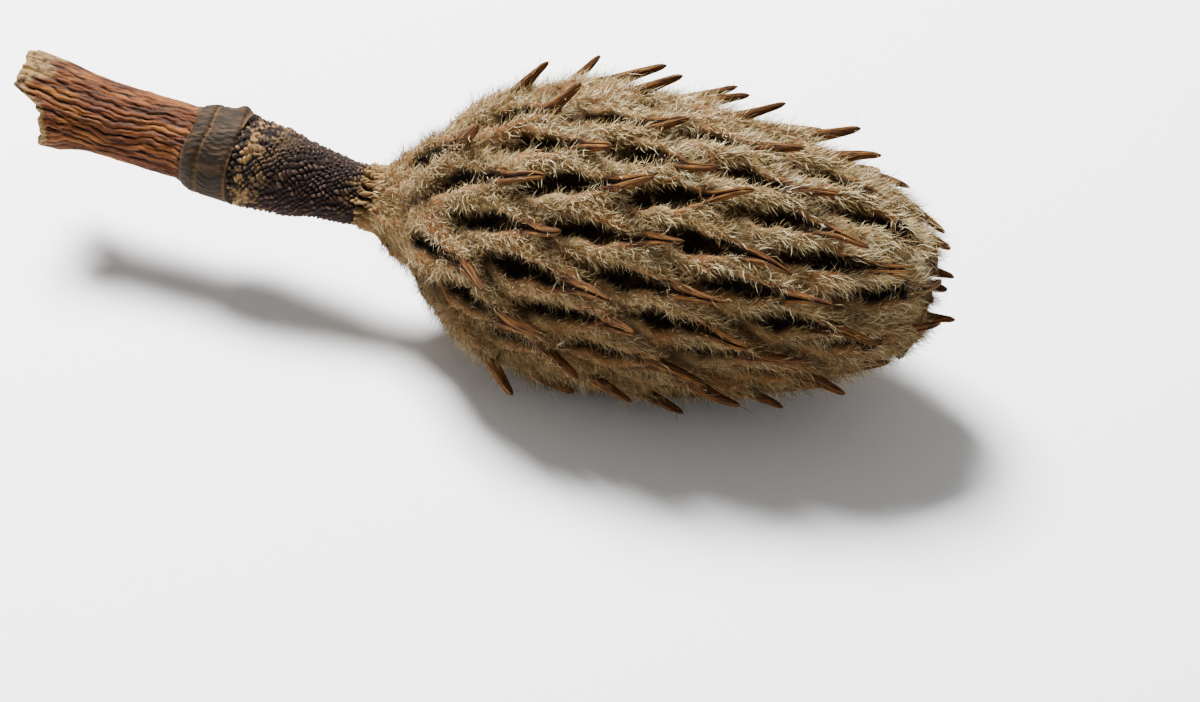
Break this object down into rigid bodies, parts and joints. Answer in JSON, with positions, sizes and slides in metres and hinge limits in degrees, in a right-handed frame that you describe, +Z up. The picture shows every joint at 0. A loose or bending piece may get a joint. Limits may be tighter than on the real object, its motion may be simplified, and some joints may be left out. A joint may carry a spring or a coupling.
{
  "type": "magnolia seed pod",
  "caption": "Dry, open magnolia seed pod: an egg-shaped woolly head of beaked, gaping seed cases on a cut stalk with a dark warty band, lying on its side",
  "frame": {"origin": "middle of the base of the box round the pod, on the surface that it lies on", "axes": "+X from the broken end of the stalk to the tip of the head, +Z up"},
  "size_m": [0.138, 0.0488, 0.0448],
  "materials": {
    "dry_bark": "rough dry bark, wrinkled lengthwise",
    "scarred_bark": "dark, warty, dull",
    "woolly_husk": "dense short wool over dry husk, bare brown beaks"
  },
  "bodies": {
    "root": {"stalk": "dry_bark", "scar_band": "scarred_bark", "seed_head": "woolly_husk"}
  },
  "joints": []
}
